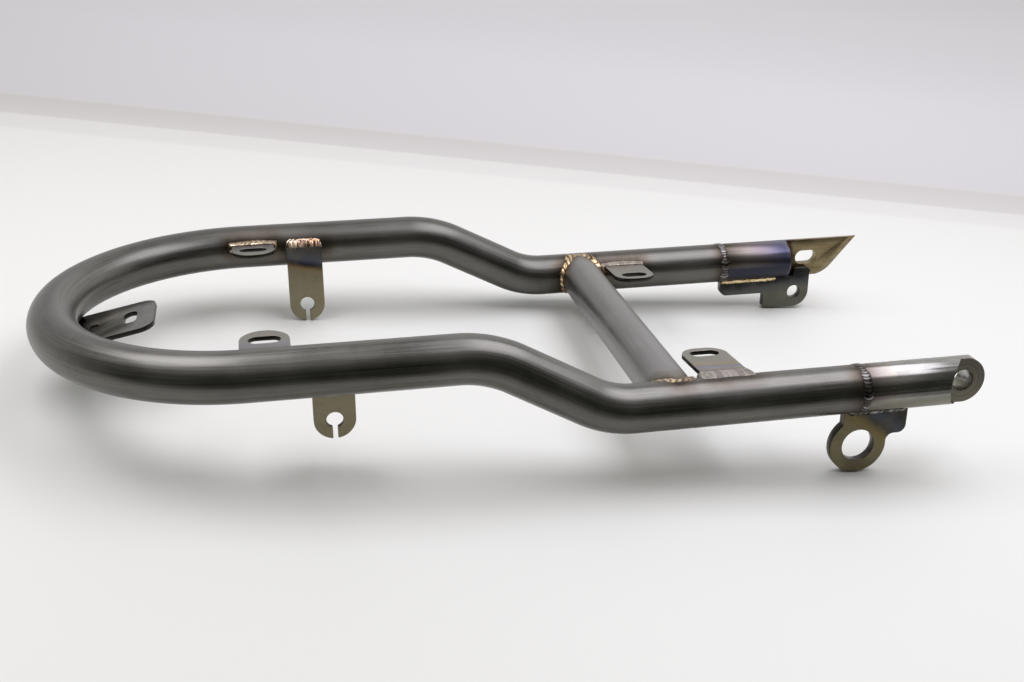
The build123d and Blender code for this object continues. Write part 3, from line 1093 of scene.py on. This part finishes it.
@dataclass
class KeyholeTab:
    """A keyhole tab that hangs against a rear rail, with the bead along its top."""

    side: Side
    x: float
    look: BeadLook
    metal: BeadFinish
    tint: Stops
    lean: float = math.radians(3.2)
    width: float = 21.0 * MM
    thickness: float = 2.5 * MM
    top: float = 1.0 * MM
    bead_top: float = 6.6 * MM
    bead_past: float = 0.8 * MM
    heat_reach: float = 16.5 * MM
    sizes: LoopSizes = SIZES

    def weld(self) -> np.ndarray:
        """Lay the bead from the tab's upper edge to the rail above it.

        Returns:
            The root line, for the heat tint.
        """
        s, y = self.sizes, self.side.value
        c, k = math.cos(self.lean), math.sin(self.lean)
        contact = (s.rear_half - s.tube_radius * c, s.rear_z + s.tube_radius * k)
        tab = (contact[0] - self.thickness * c + self.top * k, contact[1] + self.top * c)
        rail = (s.rear_half - s.chord(self.bead_top), s.rear_z + self.bead_top)
        half = self.width / 2 + self.bead_past
        lines = [run_along((self.x - half, y * across, up), (self.x + half, y * across, up))
                 for across, up in (contact, tab, rail)]
        return lay_bead(f"{self.side.hand}_keyhole", [Seam(*lines, closed=False)], self.look, self.metal)

    def plate(self) -> None:
        """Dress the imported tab; its tint runs down from the bead, lower towards the front."""
        name = f"{self.side.hand}_keyhole_tab"
        finish = PlateFinish(name + "_steel", LEFTWARDS, (self.x, 0.0, self.sizes.rear_z + self.top),
                             (-0.2, 0.0, -1.0), pale=(0.320, 0.285, 0.195),
                             deep=(0.245, 0.215, 0.140), heat_reach=self.heat_reach, heat=self.tint,
                             waver=0.07)
        broken_edge_copy(name, finish.material())


@dataclass
class LowerPlates:
    """The ring plate under the right joint and the foot plate under the left one.

    The foot plate's outer face lies in the rail's centre plane, and its seam a hair off it.
    """

    sizes: LoopSizes = SIZES
    plate: float = 5.0 * MM
    leg: float = 2.2 * MM
    lobe_front: float = 64.0 * MM
    lobe_low: float = 0.2 * MM
    lobe_top: float = 8.4 * MM
    lobe_leg: float = 2.9 * MM
    lobe_spacing: float = 0.1 * MM
    off_face: float = 0.01 * MM
    ring_span: tuple[float, float] = (-5.0 * MM, 27.2 * MM)
    foot_span: tuple[float, float] = (0.3 * MM, 39.6 * MM)
    ring_heat_ahead: float = 25.0 * MM
    ring_heat_drop: float = 11.0 * MM
    foot_heat_drop: float = 12.0 * MM
    edge: float = 0.35 * MM

    def under_bar(self, side: Side, offset: float, span: tuple[float, float]) -> Seam:
        """Seam along the underside of a bar where a plate's face comes up to it.

        Args:
            side: which rail.
            offset: how far the plate's face is from the rail's centre, negative to the right.
            span: where the seam starts and ends, forwards from the joint.

        Returns:
            The seam, its toes a leg down the plate and a leg along the bar's round.
        """
        s = self.sizes
        outward = offset + math.copysign(self.leg, offset)
        lines = []
        for across, drop in ((offset, s.chord(offset)), (offset, s.chord(offset) + self.leg),
                             (outward, s.chord(outward))):
            y, z = side.value * s.front_half + across, s.front_z - float(drop)
            lines.append(run_along((s.joint_x + span[0], y, z), (s.joint_x + span[1], y, z)))
        return Seam(*lines, closed=False)

    def weld(self, bead: BeadFinish, darker_tone: BeadFinish) -> np.ndarray:
        """Lay the beads along both faces of both plates, and down the front of the foot's lobe.

        Args:
            bead: finish of the foot plate's weld.
            darker_tone: finish of the two darker welds.

        Returns:
            The root lines, for the heat tint.
        """
        s = self.sizes
        right = [self.under_bar(Side.RIGHT, across, self.ring_span)
                 for across in (-self.plate / 2, self.plate / 2)]
        left = [self.under_bar(Side.LEFT, across, self.foot_span) for across in (-self.plate, self.off_face)]
        x, y = s.joint_x + self.lobe_front, s.front_half
        low, high = s.front_z - s.tube_radius + self.lobe_low, s.front_z - self.lobe_top
        lobe = [run_along((x + ahead, y - out, low), (x + ahead, y - out, high), self.lobe_spacing)
                for ahead, out in ((0, 0), (self.lobe_leg, 0), (0, self.lobe_leg))]
        return np.concatenate([
            lay_bead("right_plate", right, BeadLook(0.45 * MM, 3.0 * MM, seed=31), darker_tone),
            lay_bead("left_plate", left, BeadLook(0.9 * MM, 4.9 * MM, seed=32, ripple=0.3 * MM), bead),
            lay_bead("left_lobe", [Seam(*lobe, closed=False)], BeadLook(0.5 * MM, 1.8 * MM, seed=33), darker_tone),
        ])

    def plates(self) -> None:
        """Dress the two plates: the ring is olive with a dark ear, the foot dark slate all over."""
        s = self.sizes
        ring = PlateFinish(
            "right_ring_plate_steel", LEFTWARDS,
            (s.joint_x + self.ring_heat_ahead, 0.0, s.front_z - self.ring_heat_drop),
            (-0.62, 0.0, -0.78), pale=(0.230, 0.200, 0.125), deep=(0.140, 0.122, 0.075),
            heat_reach=32.0 * MM, heat=RING_TINT, waver=0.14)
        foot = PlateFinish(
            "left_foot_plate_steel", LEFTWARDS, (s.joint_x, 0.0, s.front_z - self.foot_heat_drop),
            (0.1, 0.0, -0.99), pale=(0.165, 0.162, 0.135), deep=(0.095, 0.095, 0.082),
            heat_reach=26.0 * MM, heat=FOOT_TINT, waver=0.25)
        broken_edge_copy("right_ring_plate", ring.material(), self.edge)
        broken_edge_copy("left_foot_plate", foot.material(), self.edge)


CROSS_TINT = tones(
    (0, 45, 37, 31), (200, 120, 96, 72), (450, 200, 182, 158), (1000, 262, 256, 247))
RING_TINT = tones(
    (0, 85, 62, 45), (140, 50, 50, 52), (340, 75, 82, 100), (480, 70, 66, 58), (600, 190, 150, 70),
    (780, 205, 172, 95), (1000, 185, 162, 100))
FOOT_TINT = tones(
    (0, 16, 15, 13), (200, 26, 26, 26), (360, 85, 90, 88), (550, 130, 130, 102), (1000, 120, 116, 85))
LEFT_KEYHOLE_TINT = tones(
    (0, 85, 82, 82), (180, 120, 126, 140), (400, 115, 124, 150), (500, 50, 58, 90), (580, 35, 34, 42),
    (650, 130, 80, 45), (740, 270, 205, 110), (1000, 300, 262, 175))
RIGHT_KEYHOLE_TINT = tones(
    (0, 100, 90, 70), (300, 170, 150, 110), (550, 270, 225, 140), (1000, 300, 262, 180))
FRONT_RIGHT_TINT = tones(
    (0, 200, 165, 150), (160, 260, 225, 200), (300, 230, 225, 290), (380, 170, 175, 250),
    (480, 250, 215, 150), (700, 270, 235, 155), (1000, 260, 240, 180))
FRONT_LEFT_TINT = tones(
    (0, 200, 160, 120), (250, 270, 235, 180), (600, 270, 250, 205), (1000, 270, 258, 225))
REAR_TINT = tones(
    (0, 130, 110, 100), (250, 210, 200, 210), (600, 240, 232, 240), (1000, 260, 250, 240))
BRACKET_TINT = tones(
    (0, 40, 34, 25), (250, 85, 76, 55), (550, 170, 160, 130), (1000, 255, 248, 235))
RIGHT_BAR_TINT = tones(
    (0, 120, 100, 85), (200, 150, 130, 115), (450, 230, 205, 185), (1000, 330, 310, 275))
LEFT_BAR_TINT = tones(
    (0, 70, 56, 42), (130, 120, 104, 86), (300, 185, 162, 150), (450, 178, 150, 162), (600, 152, 136, 172),
    (780, 100, 105, 180), (845, 150, 148, 200), (858, 70, 30, 28), (930, 115, 72, 42),
    (1000, 270, 228, 138))


@dataclass
class EndFittings:
    """The turned and milled bars plugged into the front ends of the rails."""

    sizes: LoopSizes = SIZES
    bolt_ahead: float = 59.4 * MM
    slot_ahead: float = 62.6 * MM
    tongue_out: float = 1.6 * MM
    # heights about the rail's centre below which each bar gets painted shade
    right_shade_top: float = -1.0 * MM
    left_shade_top: float = 2.5 * MM

    def dress(self) -> None:
        """Dress both bars: the right one bright with a ringed spot face, the left one blued."""
        s = self.sizes
        right = BarFinish(
            "machined_right", pale=(0.352, 0.346, 0.326), deep=(0.245, 0.240, 0.222),
            rings_about=(s.joint_x + self.bolt_ahead, s.front_z), face_y=-s.front_half - self.tongue_out,
            face=(0.300, 0.275, 0.215), heat_from=s.joint_x, heat_reach=17.0 * MM, heat=RIGHT_BAR_TINT,
            shaded_below=s.front_z + self.right_shade_top, under_shade=(0.200, 0.192, 0.152), under_shade_ends=9.0)
        left = BarFinish(
            "machined_left", pale=(0.290, 0.235, 0.130), deep=(0.165, 0.128, 0.068),
            rings_about=(s.joint_x + self.slot_ahead, s.front_z), face_y=s.front_half,
            face=(0.290, 0.235, 0.130), heat_from=s.joint_x, heat_reach=55.0 * MM, heat=LEFT_BAR_TINT,
            shaded_below=s.front_z + self.left_shade_top, roughness=0.34, ring_radius=0.1 * MM)
        broken_edge_copy("right_end_fitting", right.material())
        broken_edge_copy("left_end_fitting", left.material())


@dataclass
class TailBracket:
    """The sloping bracket inside the back of the hoop, and the weld under its root."""

    root_x: float = -236.0 * MM

    def dress(self, weld: BeadFinish) -> None:
        """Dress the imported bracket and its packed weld.

        Args:
            weld: finish of the weld metal.
        """
        finish = PlateFinish("tail_bracket_steel", (-0.2, 0.0, 0.98), (self.root_x, 0.0, 0.0), FORWARDS,
                             pale=(0.285, 0.278, 0.270), deep=(0.215, 0.208, 0.196),
                             heat_reach=34.0 * MM, heat=BRACKET_TINT, waver=0.16)
        broken_edge_copy("tail_bracket", finish.material())
        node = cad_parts["tail_bracket_weld"]
        node.data.materials.clear()
        node.data.materials.append(weld.material())


@dataclass(frozen=True)
class View:
    """The photograph's camera: focal length in pixels of its width, place and turns in radians."""

    focal_pixels: float = 1247.904
    width_pixels: float = 1024.0
    sensor_mm: float = 36.0
    nearest: float = 0.01
    place: Point = (-0.1374532, -0.6462048, 0.3208142)
    yaw: float = 0.2067465
    pitch: float = 0.3936685
    roll: float = -0.0029342

    def aim(self) -> None:
        """Set the camera where the photograph was taken from."""
        data = bpy.data.cameras.new("camera")
        data.sensor_width = self.sensor_mm
        data.lens = self.focal_pixels / self.width_pixels * self.sensor_mm
        data.clip_start = self.nearest
        camera = linked("camera", data)
        level = math.cos(self.pitch)
        ahead = Vector((math.sin(self.yaw) * level, math.cos(self.yaw) * level, -math.sin(self.pitch)))
        right = Vector((math.cos(self.yaw), -math.sin(self.yaw), 0.0))
        down = ahead.cross(right)
        c, k = math.cos(self.roll), math.sin(self.roll)
        right, down = right * c + down * k, down * c - right * k
        turn = Matrix((right, -down, -ahead)).transposed()
        camera.matrix_world = Matrix.Translation(self.place) @ turn.to_4x4()
        bpy.context.scene.camera = camera


@dataclass(frozen=True)
class Panel:
    """A flat light that hangs over the part and faces straight down."""

    name: str
    centre: Point
    size: tuple[float, float]
    power: float
    colour: Colour

    def hang(self) -> None:
        """Make the light; the camera doesn't see it."""
        light = bpy.data.lights.new(self.name, "AREA")
        light.shape = "RECTANGLE"
        light.size, light.size_y = self.size
        light.energy = self.power
        light.color = self.colour
        lamp = linked(self.name, light)
        lamp.location = self.centre
        lamp.visible_camera = False


@dataclass
class Stage:
    """The pale table that the part rests on, the room round it and its lights.

    The far edge is measured along the back way from its start, over its depth. Each pair
    of numbers is where a tone starts to change and where it stops.
    """

    rest: Point = (163.17 * MM, -100.2 * MM, -0.01 * MM)
    normal: Point = (0.074692, -0.085824, 0.993507)
    reach: float = 6.0
    roughness: float = 0.5
    back_way: Point = (0.2325, 0.9726, 0.0)
    back_start: float = 0.34
    back_depth: float = 0.86
    front_edge: tuple[float, float] = (-0.30, -0.12)
    left_edge: tuple[float, float] = (-0.25, 0.05)
    middle: tuple[float, float] = (-0.30, 0.30)
    # colour of the painted dark reflection in front of the part
    unlit: Colour = (0.045, 0.045, 0.040)
    seen: Colour = (0.680, 0.670, 0.680)
    panels: tuple[Panel, ...] = (
        Panel("front_panel", (0.46, -0.04, 0.80), (0.66, 0.76), 4.8, (1.0, 0.975, 1.10)),
        Panel("tail_panel", (-0.42, 0.07, 0.80), (0.46, 0.60), 3.0, (1.0, 0.975, 1.06)),
    )

    def table(self) -> None:
        """Lay a large flat sheet under the three points that the part rests on.

        Its colour changes at the far edge, where the wall's skirting starts. Mirrored in
        the metal it is painted dark in front: a painted reflection of the unlit room beyond the table's edge
        and of the shade near the part.
        """
        normal = Vector(self.normal).normalized()
        along = (Vector(FORWARDS) - normal * normal.x).normalized()
        across = normal.cross(along)
        corners = [Vector(self.rest) + (along * a + across * b) * self.reach
                   for a, b in ((-1, -1), (1, -1), (1, 1), (-1, 1))]
        mesh = bpy.data.meshes.new("table")
        mesh.from_pydata([tuple(corner) for corner in corners], [], [(0, 1, 2, 3)])
        table = linked("table", mesh)
        g = Graph.material("table_top")
        place = g.coordinates("Object")
        beyond_part = g.math("SUBTRACT", g.along(place, self.back_way), self.back_start)
        colour = g.ramp(g.math("DIVIDE", beyond_part, self.back_depth), TABLE_STOPS)
        # Painted reflection: only glossy rays see the table dark in front of the part; camera and diffuse
        # rays see it pale.
        in_front = g.fall(g.along(place, LEFTWARDS), *self.front_edge)
        mirrored = g.math("MULTIPLY", in_front, g.ray("Is Glossy Ray"))
        mesh.materials.append(g.finish(g.mix(mirrored, colour, self.unlit), self.roughness, metal=0.0))

    def room(self) -> None:
        """Light from all round: pale behind, dark low in front, plain pale where the camera looks."""
        world = bpy.data.worlds.new("room")
        bpy.context.scene.world = world
        g = Graph(world)
        toward = g.coordinates("Generated")
        up = g.along(toward, UPWARDS)
        back = g.mix(g.spread(g.along(toward, FORWARDS), *self.left_edge),
                     g.ramp(up, BACK_LEFT_STOPS), g.ramp(up, BACK_STOPS))
        around = g.mix(g.spread(g.along(toward, LEFTWARDS), *self.middle), g.ramp(up, FRONT_STOPS), back)
        seen = g.mix(g.ray("Is Camera Ray"), around, self.seen)
        g.feed(g.tree.nodes["Background"].inputs["Color"], seen)

    def dress(self) -> None:
        """Lay the table, light the room and hang the panels."""
        self.table()
        self.room()
        for panel in self.panels:
            panel.hang()
        bpy.context.scene.view_settings.view_transform = "Standard"


TABLE_STOPS = tones(
    (0, 790, 798, 742), (17, 790, 796, 740), (26, 745, 740, 695), (62, 745, 735, 690), (67, 645, 622, 592),
    (122, 615, 587, 555), (130, 680, 655, 630), (137, 665, 652, 652), (480, 855, 848, 855),
    (1000, 1000, 990, 1000))
FRONT_STOPS = tones(
    (0, 52, 56, 40), (340, 62, 64, 50), (580, 200, 198, 190), (750, 380, 375, 370), (900, 600, 590, 600),
    (1000, 700, 690, 710))
BACK_STOPS = tones(
    (0, 850, 840, 850), (450, 950, 940, 950), (800, 650, 640, 650), (1000, 600, 590, 610))
BACK_LEFT_STOPS = tones(
    (0, 750, 740, 740), (350, 600, 590, 600), (450, 480, 470, 480), (800, 650, 640, 650),
    (1000, 700, 690, 710))


def main() -> None:
    """Build every piece in order and report it."""
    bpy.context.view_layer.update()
    s = SIZES
    View().aim()
    welds = WeldLines()
    gold = BeadFinish("weld_gold", (0.92, 0.75, 0.46), (0.66, 0.49, 0.26), dark_share=0.27)
    copper = BeadFinish("weld_copper", (0.70, 0.51, 0.30), (0.42, 0.27, 0.15), (0.055, 0.040, 0.030))
    pink = BeadFinish("weld_pink", (0.80, 0.67, 0.53), (0.58, 0.36, 0.23))
    tan = BeadFinish("weld_tan", (0.50, 0.44, 0.38), (0.34, 0.285, 0.24), (0.16, 0.13, 0.105), 0.26)
    smeared = BeadFinish("weld_smeared", (0.43, 0.38, 0.34), (0.25, 0.22, 0.195), (0.13, 0.11, 0.095), 0.32)
    straw = BeadFinish("weld_straw", (0.70, 0.57, 0.40), (0.48, 0.35, 0.23), dark_share=0.34)
    grey = BeadFinish("weld_grey", (0.34, 0.32, 0.31), (0.13, 0.12, 0.11), (0.04, 0.035, 0.03), 0.50)
    for side in Side:
        welds.add(JointBead(side, grey).build())
        welds.add(CrossBead(side, copper).build())
    log.info("joint and cross tube beads laid")

    right_lead = 3.1 * MM
    rear_x, front_x = s.hoop_x + 5.8 * MM, s.cross_x + 27.0 * MM
    rear = (s.rear_z + 6.7 * MM, 24.6 * MM, 27.6 * MM)
    front = (s.front_z + 10.0 * MM, 25.0 * MM, 38.4 * MM)
    level, tilt = 0.0, 4.5
    fine = BeadLook(0.5 * MM, 2.4 * MM, seed=21, ripple=0.12 * MM, wander=0.25 * MM)
    scaled = BeadLook(0.6 * MM, 2.6 * MM, seed=22, ripple=0.18 * MM, wander=0.3 * MM)
    for tab in (
        SeatTab(Side.RIGHT, "rear", rear_x + right_lead, *rear, level, fine, grey, REAR_TINT),
        SeatTab(Side.LEFT, "rear", rear_x, *rear, tilt, scaled, straw, REAR_TINT),
        SeatTab(Side.RIGHT, "front", front_x, *front, tilt, fine, smeared, FRONT_RIGHT_TINT),
        SeatTab(Side.LEFT, "front", front_x, *front, tilt, fine, tan, FRONT_LEFT_TINT),
    ):
        welds.add(tab.weld())
        tab.plate()
    log.info("seat tabs dressed")

    ripples = BeadLook(0.9 * MM, 3.3 * MM, seed=7, ripple=0.5 * MM, wander=0.5 * MM, slant=-0.9)
    for tab in (KeyholeTab(Side.RIGHT, s.hoop_x + 40.2 * MM, ripples, pink, RIGHT_KEYHOLE_TINT),
                KeyholeTab(Side.LEFT, s.hoop_x + 35.9 * MM, ripples, pink, LEFT_KEYHOLE_TINT)):
        welds.add(tab.weld())
        tab.plate()
    log.info("keyhole tabs dressed")

    lower = LowerPlates()
    welds.add(lower.weld(gold, grey))
    lower.plates()
    EndFittings().dress()
    TailBracket().dress(grey)
    log.info("plates, fittings and bracket dressed")

    # The cross tube's third colour is its painted shade towards the left.
    cross_finish = TubeFinish(
        "cross_drawn_tube", (0.300, 0.294, 0.284), (0.238, 0.232, 0.222), (0.250, 0.244, 0.234), 0.40,
        heat_reach=11.0, heat=CROSS_TINT)
    BentLoop(TubeFinish(), welds).build()
    CrossTube(cross_finish, welds).build()
    log.info("tubes made")

    Stage().dress()


if __name__ == "__main__":
    logging.basicConfig(level=logging.INFO)
    main()
